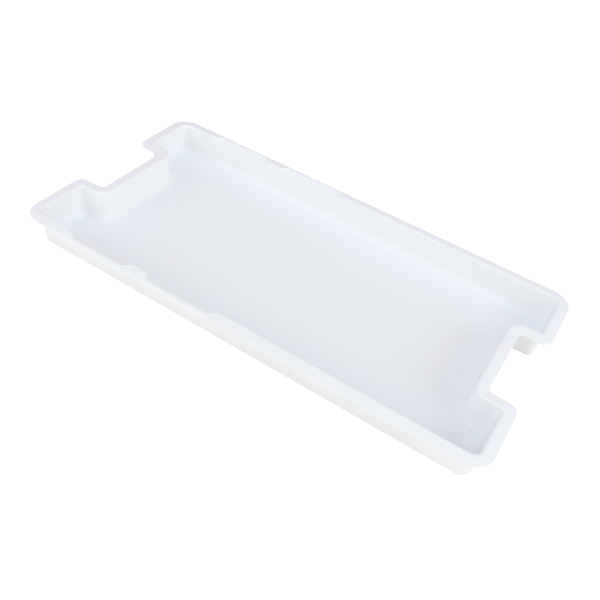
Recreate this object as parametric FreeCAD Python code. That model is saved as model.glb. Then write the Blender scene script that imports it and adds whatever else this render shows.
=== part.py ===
"""Shallow darkroom developing tray with a hand notch in each end.

The tray is one injection moulding: a rectangular basin, a hand notch in the
middle of each short end that the walls follow, and a flange all round that
stands square to the leaning walls, so it dips a little towards its edge.

Frame: millimetres.  +X runs along the tray, +Y across it and +Z up.
The origin is under the middle of the tray, on the surface it rests on.
"""
import FreeCAD, Part

import math
import os

Vector = FreeCAD.Vector

# ---- driving dimensions -------------------------------------------------

RIM_LENGTH = 468.0          # over the flange
RIM_WIDTH = 240.0
HEIGHT = 33.0               # resting face to the rim crest, before it is rounded
THICKNESS = 2.5             # wall, floor and flange
DRAFT_DEG = 4.0             # lean of every wall, opening upwards

FLANGE_WIDTH = 11.2         # flange edge to the basin's inner wall
FLANGE_DIP = 1.2            # fall from the crest to the flange edge
FLANGE_CORNER_R = 19.5      # four outer corners, seen from above
FLANGE_TIP_R = 9.5          # corners of the flange beside each notch
FLANGE_ROOT_R = 4.2         # corners at the bottom of each notch
RIM_ROLL_R = 2.4            # rounding from the flange into the basin
EDGE_R = 0.5                # broken edge round the outside of the flange

NOTCH_DEPTH = 28.0          # how far each hand notch reaches in
NOTCH_WIDTH = 84.0          # between the flange edges

BASIN_CORNER_R = 8.5        # vertical corners inside the basin, at the rim
BASIN_TIP_R = 3.0           # basin corners beside each notch, at the rim
BASIN_ROOT_R = 14.0         # corners of the notch walls that stand in the basin
FLOOR_CORNER_R = 12.0       # the same corners where they reach the floor
FLOOR_TIP_R = 9.0
BASE_FILLET_R = 8.0         # inside, wall into floor
HEEL_R = 2.0                # outside, wall into base

PANEL_LENGTH = 353.0        # flat, slightly raised middle of the floor
PANEL_WIDTH = 171.0
PANEL_CORNER_R = 11.0
PANEL_RISE = 0.6
PANEL_SLOPE = 6.0           # width of the band that falls away round it

# Rebates in the inner edge of the flange, two along each long side, towards
# the -X end.  Each slopes down from a narrow strip left along the flange edge
# to the basin wall.  The four places along X are: where it starts at the wall,
# where it starts at the strip, where it ends at the strip and at the wall.
REBATES = (
    (-185.5, -170.5, -117.0, -107.5),
    (-94.6, -86.6, -24.2, -14.6),
)
REBATE_STRIP = 3.2          # width of flange left outside a rebate
REBATE_DEPTH = 3.0          # at the wall, below the flange edge
REBATE_BACKING = 5.0        # thicker rim under a rebate, below the flange edge

# ---- worked-out sizes ---------------------------------------------------

LEAN = math.tan(math.radians(DRAFT_DEG))
FLOOR_TOP = THICKNESS
EDGE_TOP = HEIGHT - FLANGE_DIP                  # top of the flange at its edge
OUTER_WALL_INSET = FLANGE_WIDTH - THICKNESS     # flange edge to the outer wall
SIDE_Y = RIM_WIDTH / 2


def outline(inset, z, corner_r, tip_r, root_r):
    """Closed wire of the tray's plan, moved in from the flange edge by inset."""
    end_x = RIM_LENGTH / 2 - inset
    side_y = RIM_WIDTH / 2 - inset
    notch_x = end_x - NOTCH_DEPTH
    notch_y = NOTCH_WIDTH / 2 + inset
    quarter = [
        (end_x, side_y, corner_r),
        (end_x, notch_y, tip_r),
        (notch_x, notch_y, root_r),
    ]
    plan = list(quarter)
    plan += [(x, -y, r) for x, y, r in reversed(quarter)]
    plan += [(-x, -y, r) for x, y, r in quarter]
    plan += [(-x, y, r) for x, y, r in reversed(quarter)]
    return rounded_wire([(Vector(x, y, z), r) for x, y, r in plan])


def flange_outline(z):
    """Plan of the flange edge at height z."""
    return outline(0, z, FLANGE_CORNER_R, FLANGE_TIP_R, FLANGE_ROOT_R)


def basin_outline(inset, z):
    """Plan of the basin's inner wall near the rim, at height z."""
    return outline(inset, z, BASIN_CORNER_R, BASIN_TIP_R, BASIN_ROOT_R)


def floor_outline(inset, z):
    """Plan of the basin's inner wall at the floor, where its corners are rounder."""
    return outline(inset, z, FLOOR_CORNER_R, FLOOR_TIP_R, BASIN_ROOT_R)


def rounded_wire(corners):
    """Wire through the corners, each rounded to its own radius."""
    arcs = []
    for index, (here, radius) in enumerate(corners):
        before = (corners[index - 1][0] - here).normalize()
        after = (corners[(index + 1) % len(corners)][0] - here).normalize()
        half = before.getAngle(after) / 2
        reach = radius / math.tan(half)
        towards_centre = (before + after).normalize()
        middle = here + towards_centre * (radius / math.sin(half) - radius)
        arcs.append((here + before * reach, middle, here + after * reach))
    edges = []
    for index, (start, middle, end) in enumerate(arcs):
        next_start = arcs[(index + 1) % len(arcs)][0]
        edges.append(Part.Arc(start, middle, end).toShape())
        edges.append(Part.LineSegment(end, next_start).toShape())
    return Part.Wire(edges)


def prism(wire, height):
    """Solid straight up from a flat wire."""
    return Part.Face(wire).extrude(Vector(0, 0, height))


def taper(low_wire, high_wire):
    """Solid between two flat wires with straight sides."""
    return Part.makeLoft([low_wire, high_wire], True, True)


def polyhedron(faces):
    """Solid with the given flat faces."""
    sheets = [Part.Face(Part.makePolygon(list(face) + [face[0]])) for face in faces]
    solid = Part.Solid(Part.Shell(sheets))
    if solid.Volume < 0:
        solid.reverse()
    return solid


def fillet_level(solid, z, radius):
    """Fillet every edge of a solid that lies flat at height z."""
    tolerance = 1e-4
    edges = [edge for edge in solid.Edges
             if abs(edge.BoundBox.ZMin - z) < tolerance
             and abs(edge.BoundBox.ZMax - z) < tolerance]
    return solid.makeFillet(radius, edges)


def outer_body():
    """The outside of the walls and base as one block, heel rounded."""
    radii = (BASIN_CORNER_R + THICKNESS, BASIN_TIP_R + THICKNESS, BASIN_ROOT_R - THICKNESS)
    top_z = HEIGHT - THICKNESS
    low = outline(OUTER_WALL_INSET + LEAN * HEIGHT, 0, *radii)
    high = outline(OUTER_WALL_INSET + LEAN * THICKNESS, top_z, *radii)
    return fillet_level(taper(low, high), 0.0, HEEL_R)


def flange():
    """Flange, filled in across the middle, with its outer edges broken."""
    edge_under = EDGE_TOP - THICKNESS
    plate = prism(flange_outline(edge_under), THICKNESS)
    roof = taper(flange_outline(EDGE_TOP), basin_outline(FLANGE_WIDTH, HEIGHT))
    upper = plate.fuse(roof).removeSplitter()
    upper = fillet_level(upper, EDGE_TOP, EDGE_R)
    upper = fillet_level(upper, edge_under, EDGE_R)
    lower = taper(flange_outline(edge_under), basin_outline(FLANGE_WIDTH, HEIGHT - THICKNESS))
    return upper.cut(lower)


def basin_hollow():
    """The space inside the walls, floor fillet included."""
    low = floor_outline(FLANGE_WIDTH + LEAN * (HEIGHT - FLOOR_TOP), FLOOR_TOP)
    hollow = taper(low, basin_outline(FLANGE_WIDTH, HEIGHT))
    return fillet_level(hollow, FLOOR_TOP, BASE_FILLET_R)


def roll_rim(solid):
    """Round the crest where the flange turns down into the basin."""
    return fillet_level(solid, HEIGHT, RIM_ROLL_R)


def rebate_backing(wall_start, strip_start, strip_end, wall_end):
    """Thicker rim under one rebate, on the +Y side."""
    start_x = (wall_start + strip_start) / 2
    end_x = (wall_end + strip_end) / 2
    inner_y = SIDE_Y - FLANGE_WIDTH + THICKNESS / 2
    under = EDGE_TOP - REBATE_BACKING
    top = EDGE_TOP - THICKNESS / 2
    block = Part.makeBox(end_x - start_x, SIDE_Y - inner_y, top - under,
                         Vector(start_x, inner_y, under))
    outer_edges = [edge for edge in block.Edges
                   if edge.BoundBox.YMin > SIDE_Y - 1e-4
                   and edge.BoundBox.ZMin < top - 1e-4]
    return block.makeFillet(EDGE_R, outer_edges)


def rebate_cut(wall_start, strip_start, strip_end, wall_end):
    """Wedge taken out of the flange's inner edge, on the +Y side."""
    past = 4.0
    above = 1.0
    run = FLANGE_WIDTH - REBATE_STRIP
    stretch = (run + past) / run
    back_y = SIDE_Y - REBATE_STRIP
    front_y = back_y - run - past
    back_z = EDGE_TOP + FLANGE_DIP * REBATE_STRIP / FLANGE_WIDTH
    low_z = back_z - (back_z - EDGE_TOP + REBATE_DEPTH) * stretch
    start_flare = (strip_start - wall_start) * stretch
    end_flare = (wall_end - strip_end) * stretch
    back_a = Vector(strip_start, back_y, back_z)
    back_b = Vector(strip_end, back_y, back_z)
    top_a = Vector(strip_start - start_flare, front_y, HEIGHT + above)
    top_b = Vector(strip_end + end_flare, front_y, HEIGHT + above)
    low_a = Vector(strip_start - start_flare / 2, front_y, low_z)
    low_b = Vector(strip_end + end_flare / 2, front_y, low_z)
    return polyhedron([
        (back_a, back_b, top_b, top_a),
        (back_a, back_b, low_b, low_a),
        (top_a, top_b, low_b, low_a),
        (back_b, top_b, low_b),
        (back_a, top_a, low_a),
    ])


def panel_wire(outset, z):
    """Rounded rectangle, moved out from the edge of the raised panel."""
    x = PANEL_LENGTH / 2 + outset
    y = PANEL_WIDTH / 2 + outset
    corners = [(x, y), (x, -y), (-x, -y), (-x, y)]
    return rounded_wire([(Vector(px, py, z), PANEL_CORNER_R + outset) for px, py in corners])


def raised_panel():
    """The raised middle of the floor with the sloped band round it."""
    sunk = 0.4
    reach = PANEL_SLOPE * (PANEL_RISE + sunk) / PANEL_RISE
    return taper(panel_wire(reach, FLOOR_TOP - sunk), panel_wire(0.0, FLOOR_TOP + PANEL_RISE))


def base_recess():
    """The matching hollow under the raised panel."""
    return prism(panel_wire(-THICKNESS, 0.0), PANEL_RISE)


def tray():
    """The whole moulding."""
    body = outer_body().fuse(flange())
    body = roll_rim(body.cut(basin_hollow()))
    mirror_plane = (Vector(0, 0, 0), Vector(0, 1, 0))
    for places in REBATES:
        backing = rebate_backing(*places)
        wedge = rebate_cut(*places)
        body = body.fuse([backing, backing.mirror(*mirror_plane)])
        body = body.cut([wedge, wedge.mirror(*mirror_plane)])
    body = body.fuse(raised_panel())
    return body.cut(base_recess())


os.makedirs("parts", exist_ok=True)
moulding = tray()
print("valid:", moulding.isValid(), "solids:", len(moulding.Solids),
      "volume cm3:", round(moulding.Volume / 1000, 1))
moulding.exportStep("parts/tray.step")
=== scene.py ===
"""A white moulded developing tray on a pale studio floor.

The tray is one skin of plastic.  Its whole surface is worked out as a grid:
one way round the tray's plan, the other way across its section, from the
middle of the floor up the wall, over the flange and down to the underside.
Lengths are millimetres until a mesh is written, and metres after that.
"""

import logging
import math
from dataclasses import dataclass, field
from enum import Enum
from typing import Any

import bpy
import numpy as np
from mathutils import Matrix, Vector


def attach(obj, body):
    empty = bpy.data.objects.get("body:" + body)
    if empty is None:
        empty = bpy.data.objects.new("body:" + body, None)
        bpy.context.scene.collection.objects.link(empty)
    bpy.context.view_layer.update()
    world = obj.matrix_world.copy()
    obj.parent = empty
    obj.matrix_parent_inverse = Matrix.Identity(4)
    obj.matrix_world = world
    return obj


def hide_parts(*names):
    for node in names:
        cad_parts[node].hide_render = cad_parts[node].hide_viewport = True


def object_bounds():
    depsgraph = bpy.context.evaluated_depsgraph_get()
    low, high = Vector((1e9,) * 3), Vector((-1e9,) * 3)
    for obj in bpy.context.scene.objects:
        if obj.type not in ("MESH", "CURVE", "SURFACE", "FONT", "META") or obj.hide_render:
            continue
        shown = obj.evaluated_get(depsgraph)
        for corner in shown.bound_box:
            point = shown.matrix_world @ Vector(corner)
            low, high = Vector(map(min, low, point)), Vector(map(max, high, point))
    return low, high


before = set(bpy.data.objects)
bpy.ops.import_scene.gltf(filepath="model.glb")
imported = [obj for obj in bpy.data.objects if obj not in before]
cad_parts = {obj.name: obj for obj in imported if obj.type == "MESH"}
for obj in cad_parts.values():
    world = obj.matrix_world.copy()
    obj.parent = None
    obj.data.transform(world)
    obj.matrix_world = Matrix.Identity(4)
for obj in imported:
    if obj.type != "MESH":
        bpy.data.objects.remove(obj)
CAD_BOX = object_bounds()

LOG = logging.getLogger("developing_tray")
MM = 0.001                  # one millimetre in metres
FLANGE_WIDTH = 11.2         # flange edge to the basin's inner wall, in millimetres
Array = np.ndarray


# ---- small helpers ---------------------------------------------------------


def linear_rgb(hex_colour: str) -> tuple[float, float, float, float]:
    """Turn an sRGB hex colour such as "#F1F2F3" to linear light.

    Args:
        hex_colour: six hex digits after a hash sign.

    Returns:
        Red, green, blue and an alpha of 1.
    """
    shares = [int(hex_colour[i:i + 2], 16) / 255 for i in (1, 3, 5)]
    linear = [s / 12.92 if s <= 0.04045 else ((s + 0.055) / 1.055) ** 2.4 for s in shares]
    return (linear[0], linear[1], linear[2], 1.0)


def new_material(name: str) -> Any:
    """Start a material with an empty node tree.

    Args:
        name: the real material's name.

    Returns:
        The new material.
    """
    material = bpy.data.materials.new(name)
    material.use_nodes = True
    material.node_tree.nodes.clear()
    return material


def add_node(material: Any, kind: str, settings: dict[str | int, Any] | None = None,
             links: dict[str | int, Any] | None = None) -> Any:
    """Add one shader node, set it up and feed its inputs.

    Args:
        material: the material or world that owns the node tree.
        kind: the node's Blender type name.
        settings: node properties by name, and input values by socket name.
        links: output sockets to join to this node's inputs, by input name or
            number.

    Returns:
        The new node.
    """
    tree = material.node_tree
    node = tree.nodes.new(kind)
    for name, value in (settings or {}).items():
        if isinstance(name, str) and hasattr(node, name):
            setattr(node, name, value)
        else:
            node.inputs[name].default_value = value
    for name, output in (links or {}).items():
        tree.links.new(output, node.inputs[name])
    return node


def ease(values: Array, start: float, end: float) -> Array:
    """Smooth step: 0 before start, 1 after end, 3t^2 - 2t^3 of the way t between.

    Args:
        values: places to work the step out at.
        start: where it leaves 0.
        end: where it reaches 1.

    Returns:
        The step at every place.
    """
    t = np.clip((values - start) / (end - start), 0.0, 1.0)
    return t * t * (3 - 2 * t)


def rounded_rise(distance: Array, half_width: float) -> Array:
    """Zero below 0 and distance above it, with a parabola at the bend.

    Args:
        distance: signed distance past the bend.
        half_width: how far the parabola reaches on each side of the bend.

    Returns:
        The rise at every distance.
    """
    bend = (distance + half_width) ** 2 / (4 * half_width)
    return np.where(distance <= -half_width, 0.0, np.where(distance < half_width, bend, distance))


# ---- the tray's plan ---------------------------------------------------------


class Stretch(Enum):
    """The stretches of a quarter of the plan, in order from the notch's middle."""

    NOTCH_WALL = 0
    ROOT = 1
    FLANK = 2
    TIP = 3
    END = 4
    CORNER = 5


@dataclass(frozen=True)
class Radii:
    """Corner radii of one level of the plan: outer corner, notch tip, notch root."""

    corner: float
    tip: float
    root: float

    def moved_in(self, inward: Array) -> Array:
        """Radii of the outline moved inward.

        Args:
            inward: how far each level is moved in.

        Returns:
            Rows of (corner, tip, root) radii, one per level.
        """
        least = 0.3
        inward = np.asarray(inward, float)
        grown = [self.corner - inward, self.tip - inward, self.root + inward]
        return np.maximum(np.stack(grown, -1), least)

    def as_rows(self, count: int) -> Array:
        """The same radii for several levels.

        Args:
            count: number of levels.

        Returns:
            Rows of (corner, tip, root) radii, one per level.
        """
        return np.tile([self.corner, self.tip, self.root], (count, 1)).astype(float)


@dataclass(frozen=True)
class Scoop:
    """Where one scoop starts and ends along X, at the wall and at the strip."""

    wall_start: float
    strip_start: float
    strip_end: float
    wall_end: float

    @property
    def foot_start(self) -> float:
        """Where the scoop's sloped back starts at the wall, halfway along its flared end."""
        return (self.wall_start + self.strip_start) / 2

    @property
    def foot_end(self) -> float:
        """Where the scoop's sloped back ends at the wall, halfway along its flared end."""
        return (self.wall_end + self.strip_end) / 2


@dataclass(frozen=True)
class Rebates:
    """Sloped scoops in the inner edge of the flange, two along each long side.

    Each slopes down from a narrow strip left along the flange edge to the
    basin wall, and the rim is thicker under it.
    """

    scoops: tuple[Scoop, ...] = (
        Scoop(-185.5, -170.5, -117.0, -107.5),
        Scoop(-94.6, -86.6, -24.2, -14.6),
    )
    strip: float = 3.2
    wall: float = FLANGE_WIDTH
    depth: float = 3.0
    backing: float = 5.0
    crease: float = 1.0

    def creases(self) -> list[tuple[float, float, float]]:
        """Each crease's place at the wall, at the strip and under the flange.

        Returns:
            One (wall, strip, underside) triple per crease, from -X to +X.
        """
        apart = 0.45
        triples = []
        for scoop in self.scoops:
            triples += [
                (scoop.wall_start, scoop.strip_start - apart, scoop.foot_start - apart),
                (scoop.foot_start, scoop.strip_start + apart, scoop.foot_start + apart),
                (scoop.foot_end, scoop.strip_end - apart, scoop.foot_end - apart),
                (scoop.wall_end, scoop.strip_end + apart, scoop.foot_end + apart),
            ]
        return triples

    def share(self, wall_x: Array) -> Array:
        """How far into a scoop a place is.

        The share rises in a straight line between the two creases of an end,
        with a parabola at each crease.

        Args:
            wall_x: places along X, at the wall.

        Returns:
            0 outside the scoops and 1 on their sloped backs.
        """
        total = np.zeros_like(wall_x)
        for scoop in self.scoops:
            into_start = self.ramp(wall_x - scoop.wall_start, scoop.foot_start - scoop.wall_start)
            into_end = self.ramp(scoop.wall_end - wall_x, scoop.wall_end - scoop.foot_end)
            total += into_start * into_end
        return total

    def ramp(self, way: Array, run: float) -> Array:
        """Straight rise from 0 to 1, with a parabola at both bends.

        Args:
            way: distance past the start of the rise.
            run: length of the rise.

        Returns:
            The rise at every distance.
        """
        return (rounded_rise(way, self.crease) - rounded_rise(way - run, self.crease)) / run

    def backing_share(self, wall_x: Array) -> Array:
        """Where the rim is thick under a scoop, with a steep smooth step between.

        Args:
            wall_x: places along X, at the wall.

        Returns:
            1 where the rim is thick and 0 elsewhere.
        """
        total = np.zeros_like(wall_x)
        for scoop in self.scoops:
            inside_start = ease(wall_x, scoop.wall_start, scoop.foot_start)
            inside_end = 1 - ease(wall_x, scoop.foot_end, scoop.wall_end)
            total += inside_start * inside_end
        return total


@dataclass(frozen=True)
class Plan:
    """The tray seen from above: a rectangle with a notch in each short end.

    Points of a long side stay where they are up to still_x, and the rest, up
    to reach_x, slide to meet the corner arc.
    """

    length: float
    width: float
    rebates: Rebates
    notch_depth: float = 28.0
    notch_width: float = 84.0
    straight_steps: int = 8
    arc_steps: int = 8
    corner_steps: int = 12
    still_x: float = 190.0
    reach_x: float = 217.0

    def quarter(self) -> tuple[Array, Array]:
        """Points of a quarter of the plan, from the notch's middle to the long side.

        Returns:
            Each point's stretch number, and its way along that stretch.
        """
        steps = {
            Stretch.NOTCH_WALL: self.straight_steps,
            Stretch.ROOT: self.arc_steps,
            Stretch.FLANK: self.straight_steps,
            Stretch.TIP: self.arc_steps,
            Stretch.END: self.straight_steps + 2,
            Stretch.CORNER: self.corner_steps,
        }
        kinds = np.concatenate([np.full(n, s.value) for s, n in steps.items()])
        ways = np.concatenate([np.arange(n) / n for n in steps.values()])
        return kinds, ways

    def side_places(self) -> Array:
        """Places along a long side at the wall, close together at the scoops' creases.

        Returns:
            X positions from +X to -X.
        """
        even_count, past_count, least_gap = 58, 4, 2.0
        near = self.rebates.crease * np.array([-1.0, -0.5, 0.0, 0.5, 1.0])
        creases = np.array([wall for wall, _, _ in self.rebates.creases()])
        close = (creases[:, None] + near).ravel()
        even = np.linspace(-self.still_x, self.still_x, even_count)
        even = even[np.min(np.abs(even[:, None] - close), axis=1) > least_gap]
        past = np.linspace(self.still_x, self.reach_x, past_count + 1)[1:]
        return np.unique(np.concatenate([close, even, past, -past]))[::-1]

    def side_families(self) -> Array:
        """Where the side places lie at the wall, at the strip and under the flange.

        The scoops' creases fan in towards the strip, and meet the ends of the
        thicker rim underneath, so each crease is a line of the grid.

        Returns:
            Three rows of X positions, one column per side place.
        """
        wall = self.side_places()
        triples = np.array(self.rebates.creases())
        half = self.rebates.crease
        squeeze = 0.3
        ends = np.array([-self.reach_x, -self.still_x])
        bends = np.add.outer(triples[:, 0], [-half, half]).ravel()
        keys = np.concatenate([ends, bends, -ends[::-1]])
        rows = [wall]
        for column in (1, 2):
            close = np.add.outer(triples[:, column], [-squeeze, squeeze]).ravel()
            places = np.concatenate([ends, close, -ends[::-1]])
            rows.append(np.interp(wall, keys, places))
        return np.stack(rows)

    def side_x(self, inset: Array, under: Array, straight_end: Array) -> Array:
        """X of every point of a long side.

        It lies between the strip's and the wall's place by the point's share of
        the way across the flange, and at the underside's place below it.  The
        last stretch at each end reaches or shrinks to meet the corner arc.

        Args:
            inset: distance in from the flange edge, level by side place.
            under: 1 for levels below the flange, 0 for those above it.
            straight_end: where the corner arc starts, one row per level.

        Returns:
            X positions, level by side place.
        """
        wall, strip, below = self.side_families()
        strip_inset, run = self.rebates.strip, self.rebates.wall - self.rebates.strip
        share = np.clip((inset - strip_inset) / run, 0, 1)
        above = share * wall + (1 - share) * strip
        x = under[:, None] * below + (1 - under[:, None]) * above
        past = np.clip((np.abs(wall) - self.still_x) / (self.reach_x - self.still_x), 0, 1)
        return x + np.sign(wall) * past * (straight_end - self.reach_x)

    def loop(self, inset: Array, radii: Array, under: Array) -> tuple[Array, Array]:
        """The plan's outline at every level.

        Straight stretches are shared out evenly between the arcs, and each arc
        is centre + radius * (cos, sin).

        Args:
            inset: distance in from the flange edge, one row per level and one
                column per point.
            radii: rows of (corner, tip, root) radii, one per level.
            under: 1 for levels below the flange, 0 for those above it.

        Returns:
            X and Y of every point of every level.
        """
        kinds, ways = self.quarter()
        count = len(kinds)
        first = inset[:, :count]
        corner, tip, root = (radii[:, j:j + 1] for j in range(3))
        end_x = self.length / 2 - first
        side_y = self.width / 2 - first
        notch_x = end_x - self.notch_depth
        notch_y = self.notch_width / 2 + first
        cos, sin = np.cos(ways * math.pi / 2), np.sin(ways * math.pi / 2)
        quarter_x = np.choose(kinds, [
            notch_x,
            notch_x + root - root * cos,
            notch_x + root + (end_x - tip - notch_x - root) * ways,
            end_x - tip + tip * sin,
            end_x,
            end_x - corner + corner * cos,
        ])
        quarter_y = np.choose(kinds, [
            (notch_y - root) * ways,
            notch_y - root + root * sin,
            notch_y,
            notch_y + tip - tip * cos,
            notch_y + tip + (side_y - corner - notch_y - tip) * ways,
            side_y - corner + corner * sin,
        ])
        side_count = len(self.side_places())
        side_inset = inset[:, count:count + side_count]
        side_x = self.side_x(side_inset, under, (end_x - corner)[:, :1])
        x = np.concatenate([quarter_x, side_x, -quarter_x[:, ::-1]], 1)
        y = np.concatenate([quarter_y, self.width / 2 - side_inset, quarter_y[:, ::-1]], 1)
        return self.both_sides(x, y)

    @staticmethod
    def both_sides(x: Array, y: Array) -> tuple[Array, Array]:
        """Close a half outline with its mirror image in Y.

        Args:
            x: X of the half outline's points, per level.
            y: Y of the same points.

        Returns:
            X and Y of the whole outline.
        """
        return (np.concatenate([x, x[:, -2:0:-1]], 1), np.concatenate([y, -y[:, -2:0:-1]], 1))

    @staticmethod
    def spread(half: Array) -> Array:
        """Spread values of the half outline over the whole one.

        Args:
            half: values along the half outline.

        Returns:
            Values all round the outline.
        """
        return np.concatenate([half, half[..., -2:0:-1]], -1)

    def side_spread(self, side_values: Array) -> Array:
        """Spread values given along one long side over the whole outline.

        Args:
            side_values: one value per side place.

        Returns:
            Values all round the outline, 0 away from the long sides.
        """
        gap = np.zeros(len(self.quarter()[0]))
        return self.spread(np.concatenate([gap, side_values, gap]))

    def panel_loop(self, half_length: float, half_width: float, radius: Array,
                   inset: Array) -> tuple[Array, Array]:
        """Rounded rectangle with as many points as the outline, one per level.

        The stretches of the notch and the end lie along the rectangle's short
        end, each between its own two marks, given as shares of that end's half.

        Args:
            half_length: half the rectangle along X.
            half_width: half of it along Y.
            radius: corner radius, one per level.
            inset: distance in from that rectangle, one per level.

        Returns:
            X and Y of every point of every level.
        """
        kinds, ways = self.quarter()
        radius = radius[:, None]
        end_x = half_length - inset[:, None]
        side_y = half_width - inset[:, None]
        marks = np.array([0.0, 0.5, 0.72, 0.79, 0.82, 1.0])
        start, stop = marks[:-1], marks[1:]
        on_end = np.minimum(kinds, Stretch.END.value)
        share = start[on_end] + (stop[on_end] - start[on_end]) * ways
        turn = ways * math.pi / 2
        is_arc = kinds == Stretch.CORNER.value
        arc_x = end_x - radius + radius * np.cos(turn)
        arc_y = side_y - radius + radius * np.sin(turn)
        quarter_x = np.where(is_arc, arc_x, end_x + 0 * ways)
        quarter_y = np.where(is_arc, arc_y, (side_y - radius) * share)
        side_x = self.side_places() / self.reach_x * (end_x - radius)
        x = np.concatenate([quarter_x, side_x, -quarter_x[:, ::-1]], 1)
        y = np.concatenate([quarter_y, side_y + 0 * side_x, quarter_y[:, ::-1]], 1)
        return self.both_sides(x, y)


# ---- finishes ----------------------------------------------------------------


@dataclass(frozen=True)
class MouldedPolypropylene:
    """White polypropylene, injection moulded in a polished tool.

    It gives the eye a cool, clean white with broad soft reflections and a barely visible
    unevenness.
    """

    name: str = "injection_moulded_polypropylene"
    colour: str = "#F8FAFD"
    roughness: float = 0.34
    roughness_spread: float = 0.05
    ior: float = 1.49
    wave_length: float = 40 * MM
    grain: float = 1.5 * MM
    grain_height: float = 0.2 * MM

    def make(self) -> Any:
        """Build the material.

        Returns:
            The plastic.
        """
        material = new_material(self.name)
        place = add_node(material, "ShaderNodeTexCoord").outputs["Object"]
        waves = add_node(material, "ShaderNodeTexNoise",
                         {"Scale": 1 / self.wave_length, "Detail": 2.0}, {"Vector": place})
        gloss = add_node(material, "ShaderNodeMapRange",
                         {"To Min": self.roughness - self.roughness_spread,
                          "To Max": self.roughness + self.roughness_spread},
                         {"Value": waves.outputs["Fac"]})
        skin = add_node(material, "ShaderNodeTexNoise",
                        {"Scale": 1 / self.grain, "Detail": 3.0}, {"Vector": place})
        bump = add_node(material, "ShaderNodeBump",
                        {"Strength": 0.05, "Distance": self.grain_height},
                        {"Height": skin.outputs["Fac"]})
        surface = add_node(material, "ShaderNodeBsdfPrincipled",
                           {"Base Color": linear_rgb(self.colour), "IOR": self.ior},
                           {"Roughness": gloss.outputs["Result"],
                            "Normal": bump.outputs["Normal"]})
        add_node(material, "ShaderNodeOutputMaterial", links={"Surface": surface.outputs["BSDF"]})
        return material


@dataclass(frozen=True)
class LitPaper:
    """Seamless white background paper, lit so brightly that no shadow shows on it.

    It glows a little right under the tray, so the tray's base isn't black from below.
    """

    name: str = "white_background_paper"
    colour: str = "#FBFAF7"
    seen_glow: float = 0.5
    contact_glow: float = 0.2
    contact_gap: float = 1.5 * MM

    def make(self) -> Any:
        """Build the material, which is clear when seen from below the floor.

        Returns:
            The paper.
        """
        material = new_material(self.name)
        path = add_node(material, "ShaderNodeLightPath")
        close = add_node(material, "ShaderNodeMath",
                         {"operation": "LESS_THAN", 1: self.contact_gap},
                         {0: path.outputs["Ray Length"]})
        under = add_node(material, "ShaderNodeMath",
                         {"operation": "MULTIPLY", 1: self.contact_glow}, {0: close.outputs[0]})
        glow = add_node(material, "ShaderNodeMath",
                        {"operation": "MULTIPLY_ADD", 1: self.seen_glow},
                        {0: path.outputs["Is Camera Ray"], 2: under.outputs[0]})
        paper = add_node(material, "ShaderNodeBsdfPrincipled",
                         {"Base Color": linear_rgb(self.colour), "Roughness": 0.9,
                          "Specular IOR Level": 0.1, "Emission Color": (1.0, 1.0, 1.0, 1.0)},
                         {"Emission Strength": glow.outputs["Value"]})
        clear = add_node(material, "ShaderNodeBsdfTransparent")
        below = add_node(material, "ShaderNodeNewGeometry").outputs["Backfacing"]
        mix = add_node(material, "ShaderNodeMixShader",
                       links={0: below, 1: paper.outputs["BSDF"], 2: clear.outputs["BSDF"]})
        add_node(material, "ShaderNodeOutputMaterial", links={"Surface": mix.outputs["Shader"]})
        return material


# ---- the tray ------------------------------------------------------------------


@dataclass
class Levels:
    """Rows of the section, gathered from the floor's middle to the underside."""

    x: list[Array] = field(default_factory=list)
    y: list[Array] = field(default_factory=list)
    z: list[Array] = field(default_factory=list)

    def add(self, x: Array, y: Array, z: Array) -> None:
        """Add rows.

        Args:
            x: X of every point.
            y: Y of every point.
            z: height of every row, or of every point.
        """
        z = np.asarray(z, float)
        self.x.append(x)
        self.y.append(y)
        self.z.append(np.broadcast_to(z[:, None] if z.ndim == 1 else z, x.shape))

    def points(self) -> Array:
        """All rows as one grid of points.

        Returns:
            Coordinates, by level, point round the plan and axis.
        """
        parts = [np.concatenate(rows) for rows in (self.x, self.y, self.z)]
        return np.stack(parts, -1)


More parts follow.
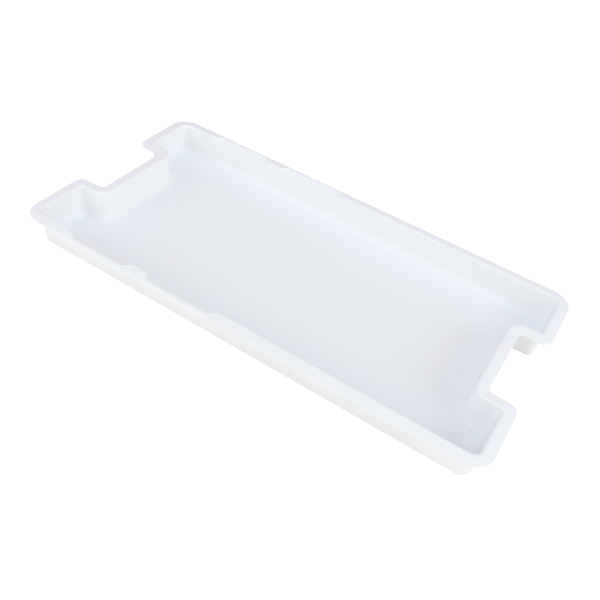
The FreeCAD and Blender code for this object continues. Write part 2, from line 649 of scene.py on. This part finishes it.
@dataclass(frozen=True)
class TrayShell:
    """The moulding: floor, walls, notch walls, flange and scoops in one skin."""

    length: float
    width: float
    height: float = 33.0
    thickness: float = 2.5
    draft_deg: float = 4.0
    flange_width: float = FLANGE_WIDTH
    flange_dip: float = 1.2
    rim_roll: float = 2.4
    scoop_roll: float = 0.9
    edge_round: float = 0.5
    base_fillet: float = 8.0
    heel: float = 2.0
    panel_length: float = 353.0
    panel_width: float = 171.0
    panel_corner: float = 11.0
    panel_rise: float = 0.6
    panel_slope: float = 6.0
    flange_radii: Radii = Radii(19.5, 9.5, 4.2)
    basin_radii: Radii = Radii(8.5, 3.0, 14.0)
    floor_radii: Radii = Radii(12.0, 9.0, 14.0)
    outer_radii: Radii = Radii(11.0, 5.5, 11.5)
    rebates: Rebates = Rebates()

    @property
    def plan(self) -> Plan:
        """The outline that every level follows."""
        return Plan(self.length, self.width, self.rebates)

    @property
    def lean(self) -> float:
        """How far a wall moves inward for each millimetre down."""
        return math.tan(math.radians(self.draft_deg))

    @property
    def edge_top(self) -> float:
        """Height of the flange's top at its outer edge."""
        return self.height - self.flange_dip

    def wall_inset(self, z: Array) -> Array:
        """Distance from the flange edge to the basin wall.

        Args:
            z: heights.

        Returns:
            The distance at every height.
        """
        return self.flange_width + self.lean * (self.height - z)

    def outer_inset(self, z: Array) -> Array:
        """Distance from the flange edge to the outer wall.

        Args:
            z: heights.

        Returns:
            The distance at every height.
        """
        return self.flange_width - self.thickness + self.lean * (self.height - z)

    def rows(self, levels: Levels, inset: Array, z: Array, radii: Array,
             under: float = 0.0) -> None:
        """Add levels that follow the outline.

        Args:
            levels: where the rows go.
            inset: distance in from the flange edge, per row or per point.
            z: height, per row or per point.
            radii: rows of (corner, tip, root) radii.
            under: 1 for levels below the flange, 0 for those above it.
        """
        inset = np.asarray(inset, float)
        if inset.ndim == 1:
            inset = np.broadcast_to(inset[:, None], (len(inset), len(self.scoop_share())))
        x, y = self.plan.loop(inset, radii, np.full(len(radii), under))
        levels.add(x, y, z)

    def floor_panel(self, levels: Levels) -> None:
        """Edge of the raised panel and the band that falls away round it.

        The band falls in a straight line, with a parabola at its crease and at
        its foot.

        Args:
            levels: where the rows go.
        """
        outset = np.array([-2.0, -0.6, -0.3, 0.0, 0.3, 0.6, 2.0, 4.0, 5.2, 5.8, 6.4, 7.0])
        fall = self.panel_rise / self.panel_slope
        crease, foot = 0.5, 1.0
        drop = rounded_rise(outset, crease) - rounded_rise(outset - self.panel_slope, foot)
        z = self.thickness + self.panel_rise - fall * drop
        radius = self.panel_corner + outset
        x, y = self.plan.panel_loop(self.panel_length / 2, self.panel_width / 2, radius, -outset)
        levels.add(x, y, z)

    def gutter(self, levels: Levels, outer_x: Array, outer_y: Array) -> None:
        """Flat rows between the panel's foot and the wall's fillet.

        Args:
            levels: where the rows go.
            outer_x: X of the fillet's first row.
            outer_y: Y of the fillet's first row.
        """
        shares = np.array([0.08, 0.35, 0.65, 0.92])[:, None]
        x0, y0 = levels.x[-1][-1], levels.y[-1][-1]
        x = x0 + (outer_x - x0) * shares
        y = y0 + (outer_y - y0) * shares
        levels.add(x, y, np.full(len(shares), self.thickness))

    def inner_radii(self, z: Array) -> Array:
        """Corner radii of the basin wall, rounder towards the floor.

        They change in a straight line from the rim's radii to the floor's.

        Args:
            z: heights, one per level.

        Returns:
            Rows of (corner, tip, root) radii, one per level.
        """
        share = ((self.height - z) / (self.height - self.thickness))[:, None]
        at_rim, at_floor = self.basin_radii.as_rows(len(z)), self.floor_radii.as_rows(len(z))
        return at_rim * (1 - share) + at_floor * share

    def fillet_rows(self, count: int) -> tuple[Array, Array, Array]:
        """Arc from the floor up to the leaning wall, tangent to both.

        Args:
            count: number of rows along the arc.

        Returns:
            Inset, height and distance from the wall line, one per row.
        """
        lean_angle = math.radians(self.draft_deg)
        r = self.base_fillet
        centre_z = self.thickness + r
        touch_z = centre_z - r * math.sin(lean_angle)
        centre_inset = self.wall_inset(touch_z) + r * math.cos(lean_angle)
        turn = np.linspace(math.pi / 2, lean_angle, count)
        inset = centre_inset - r * np.cos(turn)
        z = centre_z - r * np.sin(turn)
        return inset, z, inset - self.wall_inset(z)

    def scoop_share(self) -> Array:
        """How far into a scoop every point round the outline is.

        Returns:
            0 outside the scoops and 1 on their sloped backs.
        """
        return self.plan.side_spread(self.rebates.share(self.plan.side_places()))

    def flange_top(self, inset: Array) -> Array:
        """Height of the flange's top: its dipping plane less the scoop's depth.

        The depth rises in a straight line from the strip to the wall.

        Args:
            inset: distance in from the flange edge, per point.

        Returns:
            Height of every point.
        """
        plane = self.edge_top + self.flange_dip * inset / self.flange_width
        depth = self.scoop_slope * rounded_rise(inset - self.rebates.strip, 0.7)
        return plane - depth * self.scoop_share()

    @property
    def scoop_slope(self) -> float:
        """Fall of a scoop below the flange's plane for each millimetre inward."""
        run = self.flange_width - self.rebates.strip
        return (self.flange_dip + self.rebates.depth) / run

    def crest(self) -> tuple[Array, Array, Array]:
        """Where the flange's top and the basin wall would meet, and the roll's radius.

        Returns:
            Inset, height and roll of every point round the outline.
        """
        share = self.scoop_share()
        rise = self.flange_dip / self.flange_width - self.scoop_slope * share
        at_line = self.flange_top(np.full(len(share), self.flange_width))
        z = (at_line + self.height * rise * self.lean) / (1 + rise * self.lean)
        roll = self.rim_roll + (self.scoop_roll - self.rim_roll) * share
        return self.wall_inset(z), z, roll

    def basin(self, levels: Levels) -> None:
        """Gutter, fillet, leaning wall and the roll over the rim.

        The roll is a parabola from the wall to the flange's top, held by the
        crest where the two would meet.

        Args:
            levels: where the rows go.
        """
        fillet_count, roll_count = 13, 9
        inset, z, off = self.fillet_rows(fillet_count)
        radii = self.inner_radii(z) + off[:, None] * np.array([-1.0, -1.0, 1.0])
        first = Levels()
        self.rows(first, inset[:1], z[:1], radii[:1])
        self.gutter(levels, first.x[0][0], first.y[0][0])
        self.rows(levels, inset, z, radii)
        crest_inset, crest_z, roll = self.crest()
        foot_z = crest_z - roll
        climb = np.array([0.06, 0.25, 0.5, 0.75, 0.94])[:, None]
        wall_z = z[-1] + (foot_z - z[-1]) * climb
        self.rows(levels, self.wall_inset(wall_z), wall_z, self.inner_radii(wall_z[:, 0]))
        t = np.linspace(0, 1, roll_count)[:, None]
        low, mid, high = (1 - t) ** 2, 2 * t * (1 - t), t ** 2
        top_inset = crest_inset - roll
        bend_z = low * foot_z + mid * crest_z + high * self.flange_top(top_inset)
        bend_inset = low * self.wall_inset(foot_z) + mid * crest_inset + high * top_inset
        self.rows(levels, bend_inset, bend_z, self.basin_radii.as_rows(roll_count))

    def flange(self, levels: Levels) -> None:
        """Flange top, from the roll to the broken edge, close together at the strip.

        Args:
            levels: where the rows go.
        """
        crest_inset, _, roll = self.crest()
        start = crest_inset - roll
        strip = self.rebates.strip
        way = np.linspace(0, 1, 9)[1:, None]
        inner = start + (strip + 0.8 - start) * way
        outer = np.array([strip + 0.4, strip, strip - 0.4, strip - 0.8, 1.6,
                          self.edge_round + 0.35, self.edge_round])[:, None]
        inset = np.concatenate([inner, outer + 0 * start])
        out = inset[:, :1] / self.flange_width
        radii = self.flange_radii.as_rows(1) * (1 - out) + self.basin_radii.as_rows(1) * out
        self.rows(levels, inset, self.flange_top(inset), radii)

    def backing_share(self) -> Array:
        """Where the rim is thick under a scoop, for every point round the outline.

        Returns:
            1 where the rim is thick and 0 elsewhere.
        """
        return self.plan.side_spread(self.rebates.backing_share(self.plan.side_places()))

    def edge(self, levels: Levels) -> None:
        """The flange's broken edges and its upright face between them.

        Each broken edge is a quarter circle, and the face's height grows where
        the rim is thick.

        Args:
            levels: where the rows go.
        """
        r = self.edge_round
        under = self.edge_top - self.thickness
        under = under - (self.rebates.backing - self.thickness) * self.backing_share()
        turn = np.linspace(0, math.pi / 2, 5)[1:]
        top_in = r * (1 - np.sin(turn))
        top_z = self.edge_top - r * (1 - np.cos(turn))
        self.rows(levels, top_in, top_z, self.flange_radii.moved_in(top_in))
        for depth, share in ((0.25, 0.0), (0.5, 0.5), (0.75, 1.0), (1.0, 1.0)):
            face_z = self.edge_top - r + (under + r - self.edge_top + r) * depth
            self.rows(levels, np.zeros(1), face_z[None], self.flange_radii.as_rows(1), share)
        low_in = r * (1 - np.cos(turn))
        low_z = under + (r * (1 - np.sin(turn)))[:, None]
        self.rows(levels, low_in, low_z, self.flange_radii.moved_in(low_in), 1.0)

    def underside(self, levels: Levels) -> None:
        """Underside of the flange and of its backing, in to the outer wall.

        Args:
            levels: where the rows go.
        """
        backing = self.backing_share()
        low = self.edge_top - self.rebates.backing
        dip = self.flange_dip / self.flange_width
        plain = self.edge_top - self.thickness
        meet = (plain + dip * self.outer_inset(0)) / (1 + dip * self.lean)
        meet = meet + (low - meet) * backing
        share = np.array([0.12, 0.5, 0.92, 1.0])[:, None]
        inset = share * self.outer_inset(meet)
        z = plain + dip * inset
        z = z + (low - z) * backing
        radii = self.flange_radii.as_rows(1) * (1 - share) + self.outer_radii.as_rows(1) * share
        self.rows(levels, inset, z, radii, 1.0)

    def outer_wall(self, levels: Levels) -> None:
        """Outer wall down to the heel, which is an arc tangent to wall and base.

        Args:
            levels: where the rows go.
        """
        start = levels.z[-1][-1]
        lean_angle = math.radians(self.draft_deg)
        r = self.heel
        touch_z = r - r * math.sin(lean_angle)
        centre = self.outer_inset(touch_z) + r * math.cos(lean_angle)
        drop = np.array([0.04, 0.3, 0.6, 0.95])[:, None]
        wall_z = start + (touch_z - start) * drop
        self.rows(levels, self.outer_inset(wall_z), wall_z, self.outer_radii.as_rows(4), 1.0)
        turn = np.linspace(lean_angle, math.pi / 2, 7)
        inset = centre - r * np.cos(turn)
        z = r - r * np.sin(turn)
        off = np.maximum(inset - self.outer_inset(z), 0)
        self.rows(levels, inset, z, self.outer_radii.moved_in(off), 1.0)

    def base(self, levels: Levels) -> None:
        """Flat band, then the step up into the recess under the raised panel.

        Args:
            levels: where the rows go.
        """
        shrink = self.thickness
        half_length = self.panel_length / 2 - shrink
        half_width = self.panel_width / 2 - shrink
        r = 0.3
        turn = np.linspace(0, math.pi / 2, 4)
        inset = np.concatenate([[-1.0], r * np.sin(turn) - r, [0.0, 0.05, 2.0]])
        z = np.concatenate([[0.0], r * (1 - np.cos(turn)), [self.panel_rise - 0.2,
                                                          self.panel_rise, self.panel_rise]])
        radius = self.panel_corner - shrink - inset
        x, y = self.plan.panel_loop(half_length, half_width, radius, inset)
        x0, y0 = levels.x[-1][-1], levels.y[-1][-1]
        shares = np.array([0.1, 0.5, 0.9])[:, None]
        levels.add(x0 + (x[0] - x0) * shares, y0 + (y[0] - y0) * shares, np.zeros(3))
        levels.add(x, y, z)

    def grid(self) -> Array:
        """Every level of the skin, from the panel's top to the recess.

        Returns:
            Points in millimetres, by level, point round the plan and axis.
        """
        levels = Levels()
        self.floor_panel(levels)
        self.basin(levels)
        self.flange(levels)
        self.edge(levels)
        self.underside(levels)
        self.outer_wall(levels)
        self.base(levels)
        return levels.points()

    def cap(self, ring: Array, first_new: int, ring_start: int) -> tuple[Array, Array]:
        """Fill a rounded rectangle with a grid that follows its edge.

        A point inside is the sum of the two straight blends between opposite
        edges, less the blend between the four corners.

        Args:
            ring: points of the closed edge, in order round the plan.
            first_new: vertex number of the first point that the cap adds.
            ring_start: vertex number of the edge's first point.

        Returns:
            The added points and the faces, as rows of four vertex numbers.
        """
        count = len(ring)
        quarter = len(self.plan.quarter()[0])
        corner = quarter - self.plan.corner_steps // 2
        half = count // 2
        corners = [corner, half - corner, half + corner, count - corner]
        far = np.arange(corners[1], corners[0] - 1, -1)
        near = np.arange(corners[2], corners[3] + 1)
        right = np.arange(corners[3], corners[0] + count + 1) % count
        left = np.arange(corners[2], corners[1] - 1, -1)
        u = ((ring[far, 0] - ring[far[0], 0]) / np.ptp(ring[far, 0]))[:, None, None]
        v = ((ring[left, 1] - ring[left[0], 1]) / np.ptp(ring[left, 1]))[None, :, None]
        across = (1 - v) * ring[near][:, None] + v * ring[far][:, None]
        along = (1 - u) * ring[left][None] + u * ring[right][None]
        twist = ((1 - u) * (1 - v) * ring[near[0]] + u * (1 - v) * ring[near[-1]]
                 + (1 - u) * v * ring[far[0]] + u * v * ring[far[-1]])
        inside = (across + along - twist)[1:-1, 1:-1]
        numbers = np.empty((len(far), len(left)), int)
        numbers[:, 0] = near + ring_start
        numbers[:, -1] = far + ring_start
        numbers[0] = left + ring_start
        numbers[-1] = right + ring_start
        numbers[1:-1, 1:-1] = np.arange(inside.shape[0] * inside.shape[1]).reshape(
            inside.shape[:2]) + first_new
        faces = np.stack([numbers[:-1, :-1], numbers[1:, :-1], numbers[1:, 1:],
                          numbers[:-1, 1:]], -1)
        return inside.reshape(-1, 3), faces.reshape(-1, 4)

    def build(self) -> Any:
        """Write the whole skin into one closed mesh object.

        Neighbouring levels are joined by rings of four-sided faces, and the two
        ends are closed by caps.

        Returns:
            The tray's object.
        """
        grid = self.grid()
        levels, around = grid.shape[:2]
        numbers = np.arange(levels * around).reshape(levels, around)
        beside = np.roll(numbers, -1, 1)
        skin = np.stack([numbers[:-1], numbers[1:], beside[1:], beside[:-1]], -1).reshape(-1, 4)
        top_points, top_faces = self.cap(grid[0], levels * around, 0)
        low_start = levels * around + len(top_points)
        low_points, low_faces = self.cap(grid[-1], low_start, (levels - 1) * around)
        points = np.concatenate([grid.reshape(-1, 3), top_points, low_points]) * MM
        faces = np.concatenate([skin, top_faces, low_faces[:, ::-1]])
        mesh = bpy.data.meshes.new("tray_skin")
        mesh.from_pydata(points.tolist(), [], faces.tolist())
        mesh.polygons.foreach_set("use_smooth", np.ones(len(faces), bool))
        mesh.update()
        tray = bpy.data.objects.new("tray_moulding", mesh)
        bpy.context.scene.collection.objects.link(tray)
        even = tray.modifiers.new("flat_faces_stay_flat", "WEIGHTED_NORMAL")
        even.weight = 100
        return tray

    def dress(self, tray: Any, finish: MouldedPolypropylene) -> None:
        """Give the moulding its plastic and tie it to the frame.

        Args:
            tray: the tray's object.
            finish: the plastic it is moulded in.
        """
        tray.data.materials.append(finish.make())
        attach(tray, "root")
        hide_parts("tray")


# ---- the studio ------------------------------------------------------------------


@dataclass(frozen=True)
class Softbox:
    """A large soft lamp that looks at the tray."""

    name: str
    azimuth: float
    elevation: float
    distance: float
    size: float
    power: float
    colour: str

    def build(self) -> Any:
        """Hang the lamp in its direction, turned towards the middle.

        Returns:
            The lamp's object.
        """
        lamp = bpy.data.lights.new(self.name, "AREA")
        lamp.shape = "DISK"
        lamp.size = self.size
        lamp.energy = self.power
        lamp.color = linear_rgb(self.colour)[:3]
        holder = bpy.data.objects.new(self.name, lamp)
        a, e = math.radians(self.azimuth), math.radians(self.elevation)
        out = Vector((math.sin(a) * math.cos(e), -math.cos(a) * math.cos(e), math.sin(e)))
        holder.location = out * self.distance
        holder.rotation_euler = out.to_track_quat("Z", "Y").to_euler()
        bpy.context.scene.collection.objects.link(holder)
        return holder


@dataclass(frozen=True)
class Studio:
    """Pale floor, soft light and the camera."""

    floor_size: float = 8.0
    floor_drop: float = 0.0002
    sky_colour: str = "#FFF4F1"
    sky_strength: float = 0.667
    seen_sky_strength: float = 1.2
    azimuth: float = 24.199
    elevation: float = 43.096
    roll: float = 10.906
    distance: float = 0.62318
    aim: tuple[float, float, float] = (0.03009, -0.05121, 0.0318)
    lens: float = 42.639
    lamps: tuple[Softbox, ...] = (
        Softbox("key_softbox", 90.0, 25.0, 1.8, 1.2, 8.5, "#F3FFFB"),
        Softbox("front_softbox", 0.0, 25.0, 1.8, 1.2, 3.8, "#F3FFE8"),
        Softbox("fill_softbox", 315.0, 25.0, 1.8, 1.2, 4.9, "#E6F4FF"),
        Softbox("top_softbox", 0.0, 89.0, 1.8, 1.2, 4.4, "#89D1FF"),
    )

    def floor(self) -> Any:
        """A wide flat floor just under the tray.

        Returns:
            The floor's object.
        """
        half = self.floor_size / 2
        mesh = bpy.data.meshes.new("studio_floor")
        corners = [(-half, -half), (half, -half), (half, half), (-half, half)]
        mesh.from_pydata([(x, y, -self.floor_drop) for x, y in corners], [], [(0, 1, 2, 3)])
        floor = bpy.data.objects.new("studio_floor", mesh)
        floor.data.materials.append(LitPaper().make())
        bpy.context.scene.collection.objects.link(floor)
        return floor

    def sky(self) -> None:
        """Even light from the whole room, which looks white where the camera sees it."""
        world = bpy.data.worlds.new("studio_room")
        world.use_nodes = True
        world.node_tree.nodes.clear()
        seen = add_node(world, "ShaderNodeLightPath").outputs["Is Camera Ray"]
        strength = add_node(world, "ShaderNodeMapRange",
                            {"To Min": self.sky_strength, "To Max": self.seen_sky_strength},
                            {"Value": seen})
        air = add_node(world, "ShaderNodeBackground", {"Color": linear_rgb(self.sky_colour)},
                       {"Strength": strength.outputs["Result"]})
        add_node(world, "ShaderNodeOutputWorld", links={"Surface": air.outputs["Background"]})
        bpy.context.scene.world = world

    def camera(self) -> Any:
        """Camera on its line of sight, turned about it by the roll.

        Returns:
            The camera's object.
        """
        data = bpy.data.cameras.new("camera")
        data.lens = self.lens
        data.clip_start = 0.01
        camera = bpy.data.objects.new("camera", data)
        a, e = math.radians(self.azimuth), math.radians(self.elevation)
        back = Vector((math.sin(a) * math.cos(e), -math.cos(a) * math.cos(e), math.sin(e)))
        level = back.to_track_quat("Z", "Y").to_matrix()
        turned = level @ Matrix.Rotation(math.radians(self.roll), 3, "Z")
        place = Matrix.Translation(Vector(self.aim) + back * self.distance)
        camera.matrix_world = place @ turned.to_4x4()
        bpy.context.scene.collection.objects.link(camera)
        bpy.context.scene.camera = camera
        return camera

    def build(self) -> None:
        """Set up everything that isn't the tray."""
        self.floor()
        self.sky()
        self.camera()
        for lamp in self.lamps:
            lamp.build()
        bpy.context.scene.view_settings.view_transform = "Standard"
        bpy.context.scene.view_settings.look = "None"


def main() -> None:
    """Build the tray, dress it and light it."""
    logging.basicConfig(level=logging.INFO, format="%(name)s: %(message)s")
    low, high = CAD_BOX
    shell = TrayShell(length=(high.x - low.x) / MM, width=(high.y - low.y) / MM)
    tray = shell.build()
    shell.dress(tray, MouldedPolypropylene())
    LOG.info("tray_moulding: %d faces", len(tray.data.polygons))
    Studio().build()
    LOG.info("studio: floor, sky, camera and lamps")


if __name__ == "__main__":
    main()
